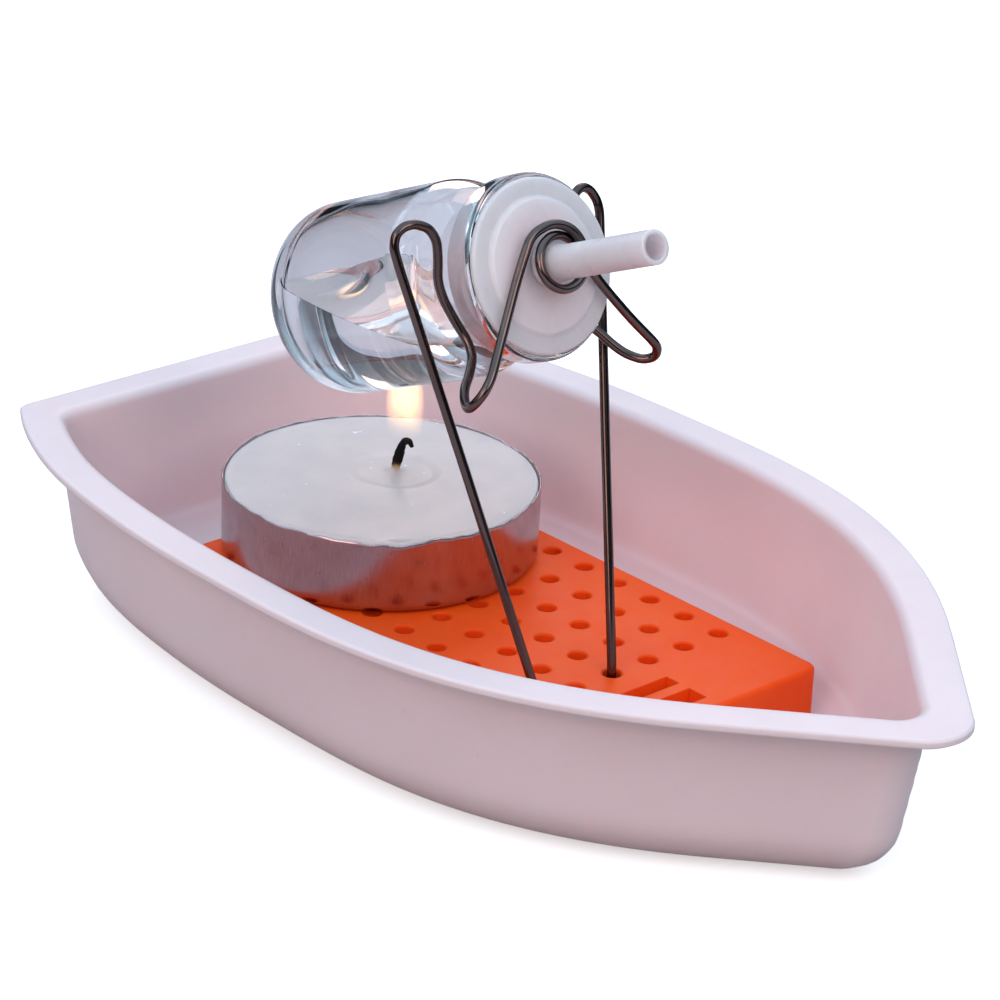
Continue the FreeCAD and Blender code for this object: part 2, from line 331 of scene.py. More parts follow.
def lin(r, g, b):
    def f(c):
        c /= 255.0
        return c / 12.92 if c <= 0.04045 else ((c + 0.055) / 1.055) ** 2.4
    return (f(r), f(g), f(b), 1.0)


def paint(ob, mat):
    ob.data.materials.clear()
    ob.data.materials.append(mat.m)


# ------------------------------------------------------------------ hull
lo, hi = cad_mm("hull")
HULL_LEN, RIM_Z = hi[0] - lo[0], hi[2]
XT = lo[0]
WALL, FLANGE_W, DRAFT = 1.0, 3.9, math.radians(7.2)
SIDE = [(-62.2, 25.2), (-58.75, 27.3), (-52.75, 30.2), (-46.75, 32.4), (-34.75, 34.9), (-22.75, 36.1),
        (-8.75, 36.4), (5.25, 35.9), (19.25, 33.1), (31.25, 27.9), (41.25, 21.2),
        (49.25, 14.25), (53.25, 10.65), (60.6, 4.0)]


def cubic(knots, values):
    """natural cubic spline; returns value and slope functions"""
    t, y = np.array(knots, float), np.array(values, float)
    n = len(t)
    h = np.diff(t)
    A, r = np.eye(n), np.zeros(n)
    for i in range(1, n - 1):
        A[i, i - 1], A[i, i], A[i, i + 1] = h[i - 1], 2 * (h[i - 1] + h[i]), h[i]
        r[i] = 6 * ((y[i + 1] - y[i]) / h[i] - (y[i] - y[i - 1]) / h[i - 1])
    m = np.linalg.solve(A, r)

    def f(u):
        i = int(np.clip(np.searchsorted(t, u) - 1, 0, n - 2))
        a, b = (t[i + 1] - u) / h[i], (u - t[i]) / h[i]
        v = a * y[i] + b * y[i + 1] + ((a ** 3 - a) * m[i] + (b ** 3 - b) * m[i + 1]) * h[i] ** 2 / 6
        d = (y[i + 1] - y[i]) / h[i] - (3 * a * a - 1) / 6 * h[i] * m[i] + (3 * b * b - 1) / 6 * h[i] * m[i + 1]
        return v, d
    return f


_k = np.concatenate([[0], np.cumsum([math.dist(SIDE[i], SIDE[i + 1]) for i in range(len(SIDE) - 1)])])
_fx, _fy = cubic(_k, [p[0] for p in SIDE]), cubic(_k, [p[1] for p in SIDE])


def side_samples(d, n=900):
    out = []
    for i in range(n + 1):
        u = _k[-1] * i / n
        (x, dx), (y, dy) = _fx(u), _fy(u)
        L = math.hypot(dx, dy)
        nx, ny = -dy / L, dx / L
        out.append((x - nx * d, y - ny * d, nx, ny))
    x, y, nx, ny = out[-1]
    for k in range(1, 80):
        out.append((x + ny * k * 0.25, y - nx * k * 0.25, nx, ny))
    return out


def spread(pts, n):
    """n+1 points evenly along a polyline"""
    P = np.array(pts, float)
    s = np.concatenate([[0], np.cumsum(np.linalg.norm(np.diff(P, axis=0), axis=1))])
    q = np.linspace(0, s[-1], n + 1)
    return np.stack([np.interp(q, s, P[:, 0]), np.interp(q, s, P[:, 1])], 1)


N_T, N_C, N_S, N_B = 30, 14, 110, 18


def outline(d, r_bow, r_stern):
    """ring of (x, y) at inset d, the same number of points for every inset"""
    s = side_samples(d)
    ib = next(i for i, q in enumerate(s) if q[1] - r_bow * q[3] <= 0)
    xt = XT + d
    it = next(i for i, q in enumerate(s) if q[0] - r_stern * q[2] >= xt + r_stern)
    side = spread([(q[0], q[1]) for q in s[it:ib + 1]], N_S)
    e, c = s[ib], s[it]
    cb = e[0] - r_bow * e[2]
    aE = math.atan2(e[1], e[0] - cb)
    bow = [(cb + r_bow * math.cos(aE * (1 - k / N_B)), r_bow * math.sin(aE * (1 - k / N_B))) for k in range(N_B + 1)]
    cx, cy = c[0] - r_stern * c[2], c[1] - r_stern * c[3]
    a1 = math.atan2(c[3], c[2])
    stern = [(cx + r_stern * math.cos(math.pi + (a1 - math.pi) * k / N_C), cy + r_stern * math.sin(math.pi + (a1 - math.pi) * k / N_C))
             for k in range(N_C + 1)]
    tr = [(xt, cy * k / N_T) for k in range(N_T + 1)]
    half = tr + stern[1:] + [tuple(p) for p in side[1:]] + bow[1:]
    return half + [(x, -y) for x, y in reversed(half[1:-1])]


def wall_profile(d_top, r, z_bot, z_top, n_wall=16, n_arc=14):
    zt = z_bot + r * (1 - math.sin(DRAFT))
    d_at = lambda z: d_top + (RIM_Z - z) * math.tan(DRAFT)
    dc = d_at(zt) + r * math.cos(DRAFT)
    out = [(d_at(z_top + (zt - z_top) * k / n_wall), z_top + (zt - z_top) * k / n_wall) for k in range(n_wall)]
    for k in range(n_arc + 1):
        th = DRAFT + (math.pi / 2 - DRAFT) * k / n_arc
        out.append((dc - r * math.cos(th), z_bot + r * (1 - math.sin(th))))
    return out


def arc2(c, r, a0, a1, n):
    return [(c[0] + r * math.cos(math.radians(a0 + (a1 - a0) * k / n)), c[1] + r * math.sin(math.radians(a0 + (a1 - a0) * k / n)))
            for k in range(n + 1)]


def bead(z):
    """height of the moulded line that runs round the inside above the floor"""
    return 0.16 / (1 + math.exp(-(4.7 - z) / 0.12)) * math.exp(-max(0.0, 4.7 - z) / 2.2)


inner = []
IN_R = 1.3
for d, z in wall_profile(FLANGE_W + WALL, 6.0, WALL, RIM_Z - IN_R, 34, 26):
    inner.append((d + bead(z), z))
outer_w = wall_profile(FLANGE_W, 7.0, 0.0, RIM_Z - WALL - 0.6, 16, 14)
profile = []
# inner floor edge upward, over the flange, down the outside, to the outer bottom edge
profile += [(d, z) for d, z in reversed(inner)]
profile += arc2((inner[0][0] - IN_R * 1.0 + 0.0, RIM_Z - IN_R), IN_R, 0, 90, 7)[1:]
profile += [(FLANGE_W * 0.75, RIM_Z), (FLANGE_W * 0.5, RIM_Z), (FLANGE_W * 0.25, RIM_Z)]
profile += arc2((0.34, RIM_Z - 0.34), 0.34, 90, 180, 6)
profile += arc2((0.3, RIM_Z - WALL + 0.3), 0.3, 180, 270, 4)
profile += [(FLANGE_W * 0.5, RIM_Z - WALL), (outer_w[0][0] - 0.6, RIM_Z - WALL)]
profile += [(outer_w[0][0] - 0.18, RIM_Z - WALL - 0.14)]
profile += outer_w
D_MAX = 12.9
rings = []
for d, z in profile:
    k = min(1.0, max(0.0, d / D_MAX))
    r_bow = 5.76 + (3.6 - 5.76) * min(1, d / 4.9) if d < 4.9 else 3.6 + (2.4 - 3.6) * (d - 4.9) / 8
    r_stern = 1.6 + (2.6 - 1.6) * min(1, d / 4.9)
    rings.append([(x, y, z) for x, y in outline(d, r_bow, r_stern)])
# inner and outer floors: shrink toward the middle, then close
M = len(rings[0])


def floor_rings(ring, shares):
    mid = np.array(ring).mean(0)
    out = []
    for q in shares:
        out.append([tuple(np.array([mid[0] + (p[0] - mid[0]) * q, p[1] * q, p[2]])) for p in ring])
    return out


head = floor_rings(rings[0], (0.04, 0.3, 0.62, 0.88, 0.97))
tail = floor_rings(rings[-1], (0.97, 0.88, 0.62, 0.3, 0.04))
hv, hf = loft(head + rings + tail, cap_first=True, cap_last=True)
hull = make_mesh("hull_bowl", hv, hf)
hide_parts("hull")
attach(hull, "hull")

m = Mat("hull_plastic")
mott = m.noise(60, 5, 0.6)
streak = m.noise(1.0, 4, 0.6, vec=m.coords((900, 900, 60)))
base = m.mix(m.range(mott, 0.3, 0.7, 0, 1), (0.86, 0.713, 0.72), (0.90, 0.754, 0.765))
spots = m.noise(1400, 2, 0.5)
base = m.mix(m.range(spots, 0.74, 0.80, 0, 0.22), base, (0.45, 0.36, 0.36))
m.to(base, "Base Color")
m.to(m.range(m.noise(260, 5, 0.6), 0.3, 0.7, 0.36, 0.52), "Roughness")
m.set(IOR=1.46, Specular_IOR_Level=0.42)
m.b.inputs["Subsurface Weight"].default_value = 0.35
m.b.inputs["Subsurface Radius"].default_value = (1.0, 0.6, 0.55)
m.b.inputs["Subsurface Scale"].default_value = 0.0016
hbump = m.bump(m.noise(900, 4, 0.6), 0.12, 0.05 * MM)
hbump = m.bump(streak, 0.10, 0.06 * MM, hbump)
m.to(hbump, "Normal")
paint(hull, m)

# ------------------------------------------------------------ deck block
m = Mat("deck_plastic")
mott = m.noise(110, 5, 0.6)
base = m.mix(m.range(mott, 0.3, 0.7, 0, 1), (0.93, 0.078, 0.006), (0.97, 0.100, 0.009))
speck = m.noise(2600, 2, 0.5)
base = m.mix(m.range(speck, 0.72, 0.78, 0, 0.35), base, (0.98, 0.42, 0.20))
m.to(base, "Base Color")
m.to(m.range(m.noise(420, 4, 0.6), 0.3, 0.7, 0.34, 0.48), "Roughness")
m.b.inputs["Subsurface Weight"].default_value = 0.35
m.set(Specular_IOR_Level=0.12)
m.b.inputs["Subsurface Radius"].default_value = (1.0, 0.25, 0.08)
m.b.inputs["Subsurface Scale"].default_value = 0.0012
bev = m.n("ShaderNodeBevel", samples=4)
bev.inputs["Radius"].default_value = 0.25 * MM
m.to(m.bump(m.noise(1500, 4, 0.6), 0.10, 0.05 * MM, bev.outputs[0]), "Normal")
paint(nodes["base_block"], m)

# ------------------------------------------------------------ vial frame
js = joints["vial_spin"]
TILT = math.radians(23.0)
AX = Vector((math.cos(TILT), 0, math.sin(TILT)))
LIP = Vector((5.4, -5.5, 54.72))
BODY_R, LIP_R, NECK_R, BORE_R, GLASS, BASE_T = 10.8, 10.0, 8.1, 6.3, 1.0, 3.6
LIP_FRONT, HEEL_R = -1.1, 4.8
S0 = -37.6
SB = S0 + BASE_T


def arc_pts(cs, cr, r, a0, a1, n=10):
    return [(cs + r * math.cos(math.radians(a0 + (a1 - a0) * k / n)), cr + r * math.sin(math.radians(a0 + (a1 - a0) * k / n)))
            for k in range(n + 1)]


def cavity(grow, floor_dish=0.5):
    r = BODY_R - GLASS + grow
    p = [(SB - grow + floor_dish, 0.0), (SB - grow + floor_dish * 0.8, r * 0.3), (SB - grow + floor_dish * 0.35, r * 0.55)]
    p += arc_pts(SB - grow + 2.4, r - 2.4, 2.4, 180, 90)
    p += [(SB + 8 - grow, r), (SB + 14, r)]
    p += arc_pts(-14.4, r - 3.0, 3.0, 90, 40, 8)
    p += [(-10.2, BORE_R + grow + 0.9), (-9.2, BORE_R + grow)]
    return p


outside = [(S0 + 0.7, 0.0), (S0 + 0.6, 2.0), (S0 + 0.3, 4.2), (S0 + 0.03, 5.4)]
outside += arc_pts(S0 + HEEL_R, BODY_R - HEEL_R, HEEL_R, 176, 90, 18)
outside += [(S0 + 9, BODY_R), (S0 + 15, BODY_R)]
outside += arc_pts(-13.6, BODY_R - 3.4, 3.4, 90, 35, 10)
outside += smooth_corners([(-9.9, NECK_R + 0.75), (-8.4, NECK_R), (-4.9, NECK_R), (-4.3, LIP_R), (LIP_FRONT, LIP_R), (LIP_FRONT, BORE_R)],
                          [0.6, 0.7, 0.5, 0.9, 0.55, 0.25], closed=False, n=6)
inside = cavity(0.0)
vial = lathe("vial_glass", outside + [(LIP_FRONT - 0.7, BORE_R)] + list(reversed(inside)), LIP, AX, 256, closed=False)
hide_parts("vial")
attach(vial, "boiler")


def glass_mat(name, ior, tint, rough=0.0):
    m = Mat(name)
    m.set(IOR=ior, Roughness=rough)
    m.b.inputs["Transmission Weight"].default_value = 1.0
    m.b.inputs["Base Color"].default_value = tint
    return m


m = glass_mat("vial_clear_glass", 1.5, (0.985, 0.985, 0.985, 1))
smear = m.noise(180, 5, 0.6)
m.to(m.range(smear, 0.45, 0.8, 0.0, 0.035), "Roughness")
m.to(m.mix(m.range(smear, 0.3, 0.7, 0, 1), (0.985, 0.985, 0.99), (0.965, 0.965, 0.97)), "Base Color")
m.to(m.bump(m.noise(70, 2, 0.4), 0.05, 0.2 * MM), "Normal")
paint(vial, m)

# ----------------------------------------------------------------- water
WATER_Z = float(cad_mm("water")[1][2])
w_in = cavity(0.12)
water = lathe("water_fill", w_in + [(-9.2, 0.0)], LIP, AX, 256, closed=False)
bm = bmesh.new()
bm.from_mesh(water.data)
geom = bm.verts[:] + bm.edges[:] + bm.faces[:]
cut = bmesh.ops.bisect_plane(bm, geom=geom, dist=1e-7, plane_co=(0, 0, WATER_Z * MM), plane_no=(0, 0, 1), clear_outer=True)
edges = [e for e in cut["geom_cut"] if isinstance(e, bmesh.types.BMEdge)]
bmesh.ops.contextual_create(bm, geom=edges)
bmesh.ops.recalc_face_normals(bm, faces=bm.faces)
for f in bm.faces:
    f.smooth = len(f.verts) < 20
for e in edges:
    if e.is_valid:
        e.smooth = False
bm.to_mesh(water.data)
bm.free()
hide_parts("water")
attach(water, "stand")
m = glass_mat("water_clear", 1.333, (0.99, 0.99, 0.995, 1))
m.to(m.bump(m.noise(60, 2, 0.4), 0.03, 0.2 * MM), "Normal")
m.to(m.mix(m.noise(90, 3), (0.99, 0.99, 0.995), (0.975, 0.98, 0.985)), "Base Color")
paint(water, m)

# -------------------------------------------------------- stopper, nozzle
STOP_R, BOSS_R, PLUG_BACK = 9.4, 7.05, -7.2
b = 1.88
stop_profile = smooth_corners(
    [(PLUG_BACK, b), (PLUG_BACK, BORE_R - 0.7), (PLUG_BACK + 1.0, BORE_R - 0.03), (LIP_FRONT, BORE_R - 0.03), (LIP_FRONT, STOP_R),
     (-0.38, STOP_R), (-0.38, BOSS_R + 0.4), (0.1, BOSS_R), (0.1, b)],
    [0.1, 0.5, 0.4, 0.1, 0.18, 0.34, 0.3, 0.35, 0.1], closed=True, n=6)
stopper = lathe("stopper_bung", stop_profile, LIP, AX, 192)
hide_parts("stopper")
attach(stopper, "boiler")


def milky(name, col_a, col_b, trans, rough, sss=0.6, scale=0.0022):
    m = Mat(name)
    m.to(m.mix(m.range(m.noise(90, 3), 0.3, 0.7, 0, 1), col_a, col_b), "Base Color")
    m.to(m.range(m.noise(140, 3), 0.3, 0.7, rough - 0.04, rough + 0.05), "Roughness")
    m.set(IOR=1.40, Specular_IOR_Level=0.5)
    m.b.inputs["Subsurface Weight"].default_value = sss
    m.b.inputs["Subsurface Radius"].default_value = (1.0, 0.9, 0.92)
    m.b.inputs["Subsurface Scale"].default_value = scale
    m.b.inputs["Transmission Weight"].default_value = trans
    m.to(m.bump(m.noise(260, 3, 0.5), 0.04, 0.05 * MM), "Normal")
    return m


paint(stopper, milky("stopper_silicone", (0.88, 0.76, 0.77), (0.92, 0.80, 0.81), 0.0, 0.28, 1.0, 0.0030))

TUBE_R, TUBE_BORE = 1.85, 1.35
noz_profile = smooth_corners(
    [(-7.2, TUBE_BORE), (-7.2, TUBE_R), (0.1, TUBE_R), (0.11, 2.2), (1.0, 2.2), (1.6, 2.12), (3.4, TUBE_R),
     (17.3, TUBE_R), (17.3, TUBE_BORE)],
    [0.08, 0.15, 0.02, 0.15, 0.6, 0.8, 1.6, 0.16, 0.10], closed=True, n=5)
nozzle = lathe("nozzle_pipe", noz_profile, LIP, AX, 128)
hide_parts("nozzle_tube")
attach(nozzle, "jet")
paint(nozzle, milky("nozzle_plastic", (0.88, 0.73, 0.75), (0.92, 0.77, 0.79), 0.0, 0.28, 1.0, 0.0020))

# ------------------------------------------------------------ wire stand
m = Mat("spring_wire")
tint = m.noise(45, 3, 0.5)
base = m.mix(m.range(tint, 0.35, 0.65, 0, 1), (0.105, 0.074, 0.068), (0.175, 0.130, 0.120))
grime = m.noise(160, 4, 0.6)
base = m.mix(m.range(grime, 0.60, 0.76, 0, 0.35), base, (0.11, 0.075, 0.06))
m.to(base, "Base Color")
m.set(Metallic=1.0)
m.to(m.range(m.noise(220, 3), 0.3, 0.7, 0.10, 0.17), "Roughness")
m.to(m.bump(m.noise(500, 3, 0.5), 0.03, 0.02 * MM), "Normal")
paint(nodes["wire_stand"], m)

# ---------------------------------------------------------------- candle
lo, hi = cad_mm("candle_cup")
CX, CY = (lo[0] + hi[0]) / 2, (lo[1] + hi[1]) / 2
CUP_R, CUP_Z0, CUP_Z1 = (hi[0] - lo[0]) / 2, lo[2], hi[2]
WAX_Z = float(cad_mm("candle_wax")[1][2])
wlo, whi = cad_mm("candle_wick")
WX, WY = wlo[0] + 0.6, (wlo[1] + whi[1]) / 2
n1, n2, n3 = value_noise(11), value_noise(23), value_noise(37)
TO_CAM = math.atan2(-0.69, 0.72)


def near_bump(a, c, width):
    d = (a - c + math.pi) % (2 * math.pi) - math.pi
    return math.exp(-(d / width) ** 2)


def rim_z(a):
    z = -0.10 + 0.10 * n1(a, 3, 30, 0.55) + 0.035 * n2(a, 25, 58, 0.3)
    z -= 0.50 * near_bump(a, TO_CAM + 0.14, 0.15)
    z -= 0.15 * near_bump(a, TO_CAM - 0.14, 0.12)
    z += 0.22 * near_bump(a, TO_CAM + 0.38, 0.07)
    return CUP_Z1 - 0.12 + max(-0.95, min(0.12, z))


def cup_r(a, z):
    h = (z - CUP_Z0) / (CUP_Z1 - CUP_Z0)
    return 0.05 * n2(a, 2, 9, 0.6) * h + 0.045 * n3(a + 0.5 * h, 6, 26, 0.6) * max(0.0, h - 0.35) - 0.07 * (1 - h)


SEG = 360
cup_rings = []


def cup_ring(r, z, top=False, follow=0.0):
    ring = []
    for k in range(SEG):
        a = 2 * math.pi * k / SEG
        zz = z
        if follow > 0:
            zz = z + follow * (rim_z(a) - CUP_Z1)
        rr = min(CUP_R - 0.01, r + cup_r(a, z) - 0.06) if r > 10 else r
        ring.append((CX + rr * math.cos(a), CY + rr * math.sin(a), zz))
    return ring


T = 0.24
cup_rings.append(cup_ring(0.6, CUP_Z0))
cup_rings.append(cup_ring(9.0, CUP_Z0))
cup_rings.append(cup_ring(9.8, CUP_Z0 + 0.12))
cup_rings.append(cup_ring(15.2, CUP_Z0 + 0.12))
cup_rings.append(cup_ring(16.0, CUP_Z0))
for th in (0, 20, 40, 60, 80, 90):
    t = math.radians(th)
    cup_rings.append(cup_ring(CUP_R - 1.1 + 1.1 * math.sin(t), CUP_Z0 + 1.1 * (1 - math.cos(t))))
for k in range(1, 15):
    z = CUP_Z0 + 1.1 + (CUP_Z1 - CUP_Z0 - 1.1) * k / 15
    cup_rings.append(cup_ring(CUP_R, z, follow=max(0.0, (k - 8) / 7.0)))
cup_rings.append(cup_ring(CUP_R, CUP_Z1 - 0.08, follow=1.0))
cup_rings.append(cup_ring(CUP_R - T * 0.35, CUP_Z1 - 0.01, follow=1.0))
cup_rings.append(cup_ring(CUP_R - T * 0.75, CUP_Z1 - 0.02, follow=1.0))
cup_rings.append(cup_ring(CUP_R - T, CUP_Z1 - 0.10, follow=1.0))
for k in range(13, 0, -1):
    z = CUP_Z0 + 1.1 + (CUP_Z1 - CUP_Z0 - 1.1) * k / 15
    cup_rings.append(cup_ring(CUP_R - T, z, follow=max(0.0, (k - 8) / 7.0)))
for th in (90, 60, 30, 0):
    t = math.radians(th)
    cup_rings.append(cup_ring(CUP_R - T - 0.8 + 0.8 * math.sin(t), CUP_Z0 + T + 0.8 * (1 - math.cos(t))))
cup_rings.append(cup_ring(0.6, CUP_Z0 + T))
cv, cf = loft(cup_rings, cap_first=True, cap_last=True)
cup = make_mesh("candle_foil_cup", cv, cf)
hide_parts("candle_cup")
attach(cup, "candle")

m = Mat("cup_aluminium")
# vertical drawn lines: noise over angle round the cup, stretched along z
sep = m.n("ShaderNodeSeparateXYZ")
mp = m.coords((1, 1, 1), loc=(-CX * MM, -CY * MM, 0))
m.link(mp, sep.inputs[0])
ang = m.math("ARCTAN2", sep.outputs[1], sep.outputs[0])
comb = m.n("ShaderNodeCombineXYZ")
m.link(m.math("MULTIPLY", ang, 100.0), comb.inputs[0])
m.link(m.math("MULTIPLY", sep.outputs[2], 500.0), comb.inputs[1])
lines = m.noise(1.0, 4, 0.65, vec=comb.outputs[0])
blot = m.noise(350, 5, 0.6)
base = m.mix(m.range(lines, 0.3, 0.7, 0, 1), (0.43, 0.35, 0.37), (0.54, 0.455, 0.475))
base = m.mix(m.range(blot, 0.52, 0.72, 0, 0.55), base, (0.34, 0.27, 0.29))
pits = m.noise(2200, 2, 0.5)
base = m.mix(m.range(pits, 0.70, 0.76, 0, 0.6), base, (0.10, 0.08, 0.09))
m.to(base, "Base Color")
m.set(Metallic=1.0)
m.to(m.range(m.math("ADD", lines, m.math("MULTIPLY", blot, 0.6)), 0.4, 1.1, 0.17, 0.29), "Roughness")
m.b.inputs["Anisotropic"].default_value = 0.15
m.to(m.bump(lines, 0.012, 0.05 * MM, m.bump(m.noise(200, 3), 0.06, 0.2 * MM)), "Normal")
paint(cup, m)

# wax
wn = value_noise(51)


def wax_z(x, y):
    r = math.hypot(x - CX, y - CY)
    rw = math.hypot(x - WX, y - WY)
    a = math.atan2(y - WY, x - WX)
    edge = CUP_R - 0.45
    z = WAX_Z
    z += 0.10 * math.exp(-((r - edge) / 0.6) ** 2)
    rp = 5.0 * (1 + 0.05 * wn(a, 2, 6, 0.8))
    z += 0.10 * math.exp(-((rw - rp) / 0.45) ** 2) - (0.14 if rw < rp else 0.14 * math.exp(-((rw - rp) / 0.3) ** 2))
    z += 0.55 * math.exp(-(rw / 0.85) ** 2)
    z += 0.020 * math.sin(0.31 * x + 1.3) * math.sin(0.27 * y + 0.4) + 0.006 * math.sin(0.63 * x - 0.5 * y) * math.sin(0.41 * x + 0.7 * y + 1.0)
    return z


rings = []
wr = CUP_R - T - 0.10
bot = WAX_Z - 7.6
rings.append([(CX + 0.5 * math.cos(2 * math.pi * k / SEG), CY + 0.5 * math.sin(2 * math.pi * k / SEG), bot) for k in range(SEG)])


def wax_ring(r, z=None, dz=0.0):
    ring = []
    for k in range(SEG):
        a = 2 * math.pi * k / SEG
        rr = r + (cup_r(a, CUP_Z1 - 0.5) - 0.06 if r > 15 else 0)
        x, y = CX + rr * math.cos(a), CY + rr * math.sin(a)
        top = wax_z(x, y)
        if r > wr - 0.8:
            top = min(top, rim_z(a) - 0.02 + 0.10)
        ring.append((x, y, (top + dz) if z is None else z))
    return ring


rings.append(wax_ring(wr - 1.0, bot))
rings.append(wax_ring(wr - 0.3, bot + 0.3))
rings.append(wax_ring(wr - 0.05, bot + 1.0))
for k in range(1, 6):
    rings.append(wax_ring(wr - 0.05, bot + 1.0 + (WAX_Z - 0.9 - bot - 1.0) * k / 5))
rings.append(wax_ring(wr, None, -0.25))
rings.append(wax_ring(wr - 0.08, None, -0.06))
rings.append(wax_ring(wr - 0.25, None, 0.0))
r = wr - 0.5
while r > 0.3:
    rings.append(wax_ring(r))
    r -= 0.22
wv, wf = loft(rings, cap_first=True, cap_last=True)
wax = make_mesh("candle_wax_block", wv, wf)
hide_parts("candle_wax")
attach(wax, "candle")
m = Mat("wax_paraffin")
cloud = m.noise(130, 5, 0.6)
base = m.mix(m.range(cloud, 0.3, 0.7, 0, 1), (0.60, 0.545, 0.535), (0.67, 0.61, 0.60))
w1 = m.noise(750, 2, 0.5)
base = m.mix(m.range(w1, 0.72, 0.77, 0, 0.8), base, (0.97, 0.97, 0.98))
w2 = m.noise(1700, 2, 0.5, vec=m.coords((1, 1, 1), loc=(0.3, 0.1, 0.2)))
base = m.mix(m.range(w2, 0.76, 0.79, 0, 0.7), base, (0.22, 0.18, 0.18))
m.to(base, "Base Color")
m.to(m.range(m.noise(240, 4), 0.3, 0.7, 0.30, 0.50), "Roughness")
m.b.inputs["Subsurface Weight"].default_value = 0.8
m.b.inputs["Subsurface Radius"].default_value = (1.0, 0.95, 0.95)
m.b.inputs["Subsurface Scale"].default_value = 0.0022
m.to(m.bump(m.noise(500, 4), 0.16, 0.1 * MM, m.bump(m.noise(120, 3), 0.2, 0.2 * MM)), "Normal")
paint(wax, m)

# wick
wick_pts = dense([(WX, WY, CUP_Z0 + 0.5), (WX, WY, WAX_Z - 0.6), (WX + 0.10, WY, WAX_Z + 0.5), (WX + 0.50, WY, WAX_Z + 1.8),
                  (WX + 0.95, WY, WAX_Z + 3.2), (WX + 1.55, WY, WAX_Z + 4.15), (WX + 2.35, WY, WAX_Z + 4.4), (WX + 2.85, WY, WAX_Z + 3.95)], 0.09)
nw = len(wick_pts)
rad = []
for i, p in enumerate(wick_pts):
    h = p[2] - WAX_Z
    s = i / (nw - 1)
    rr = 0.50 if h < 0.6 else 0.50 + 0.09 * math.sin((h - 0.6) * 1.3)
    if s > 0.93:
        rr *= 1 - 0.45 * (s - 0.93) / 0.07
    rad.append(rr)


def braid(i, a):
    return 1 + 0.07 * math.sin(3 * a + i * 0.32) * math.sin(3 * a - i * 0.32 + 1.0) + 0.04 * math.sin(7 * a + i * 0.21)


wick = tube("wick_braid", wick_pts, rad, 36, braid)
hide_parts("candle_wick")
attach(wick, "candle")
m = Mat("wick_charred")
sep = m.n("ShaderNodeSeparateXYZ")
m.link(m.tc.outputs["Object"], sep.inputs[0])
h = m.math("ADD", sep.outputs[2], m.math("MULTIPLY", m.math("SUBTRACT", m.noise(900, 3), 0.5), 0.0007))
base = m.ramp(m.range(h, (WAX_Z + 0.2) * MM, (WAX_Z + 1.6) * MM, 0, 1),
              [(0.0, (0.72, 0.62, 0.50)), (0.35, (0.55, 0.38, 0.22)), (0.62, (0.08, 0.035, 0.02)), (0.8, (0.006, 0.005, 0.005))])
m.to(base, "Base Color")
m.set(Specular_IOR_Level=0.15)
m.to(m.range(m.noise(2500, 4), 0.3, 0.7, 0.6, 0.95), "Roughness")
m.to(m.bump(m.noise(2600, 4, 0.6), 0.5, 0.1 * MM), "Normal")
paint(wick, m)

m = Mat("sustainer_tin")
m.to(m.mix(m.noise(600, 4), (0.55, 0.54, 0.54), (0.72, 0.71, 0.70)), "Base Color")
m.set(Metallic=1.0)
m.to(m.range(m.noise(900, 4), 0.3, 0.7, 0.25, 0.45), "Roughness")
m.to(m.bump(m.noise(1500, 4), 0.1, 0.03 * MM), "Normal")
paint(nodes["wick_sustainer"], m)

# flame
FLAME = 330.0
FX, FY = WX + 2.1, WY
flame_z0, flame_z1 = WAX_Z + 2.3, WAX_Z + 15.6
fn = value_noise(77)
rings = []
NF = 44
for i in range(NF + 1):
    t = i / NF
    z = flame_z0 + (flame_z1 - flame_z0) * t
    if t < 0.45:
        rr = 2.55 * (0.55 + 0.45 * math.sin(math.pi / 2 * (t / 0.45)) ** 0.6)
    else:
        rr = 2.55 * max(0.04, math.cos(math.pi / 2 * ((t - 0.45) / 0.55)) ** 0.55)
    dx = -0.55 - 0.25 * math.sin(math.pi * t)
    ring = []
    for k in range(48):
        a = 2 * math.pi * k / 48
        q = rr * (1 + 0.03 * fn(a + t * 2, 2, 6, 0.9))
        ring.append((FX + dx + 0.95 * q * math.cos(a), FY + 0.8 * q * math.sin(a), z))
    rings.append(ring)
fv, ff = loft(rings, cap_first=True, cap_last=True)
flame = make_mesh("candle_flame", fv, ff)
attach(flame, "candle")
m = Mat("flame_glow")
m.nt.nodes.remove(m.b)
sep = m.n("ShaderNodeSeparateXYZ")
m.link(m.coords((1, 1, 1), loc=(-(FX - 0.7) * MM, -FY * MM, 0)), sep.inputs[0])
rad_ = m.math("SQRT", m.math("ADD", m.math("POWER", sep.outputs[0], 2.0), m.math("POWER", m.math("MULTIPLY", sep.outputs[1], 1.15), 2.0)))
wob = m.math("MULTIPLY", m.math("SUBTRACT", m.noise(220, 3, 0.5), 0.5), 0.0020)
hz = m.range(m.math("ADD", sep.outputs[2], wob), (flame_z0 + 2.6) * MM, (flame_z0 + 6.6) * MM, 0, 1)
core = m.range(rad_, 1.8 * MM, 2.6 * MM, 1.0, 0.35)
col = m.mix(m.range(rad_, 0.9 * MM, 2.2 * MM, 0, 1), (1.0, 0.74, 0.27), (1.0, 0.46, 0.18))
em = m.n("ShaderNodeEmission")
m.link(col, em.inputs[0])
m.link(m.math("MULTIPLY", m.math("MULTIPLY", m.math("POWER", hz, 1.4), core), FLAME), em.inputs[1])
m.link(em.outputs[0], m.out.inputs["Volume"])
paint(flame, m)

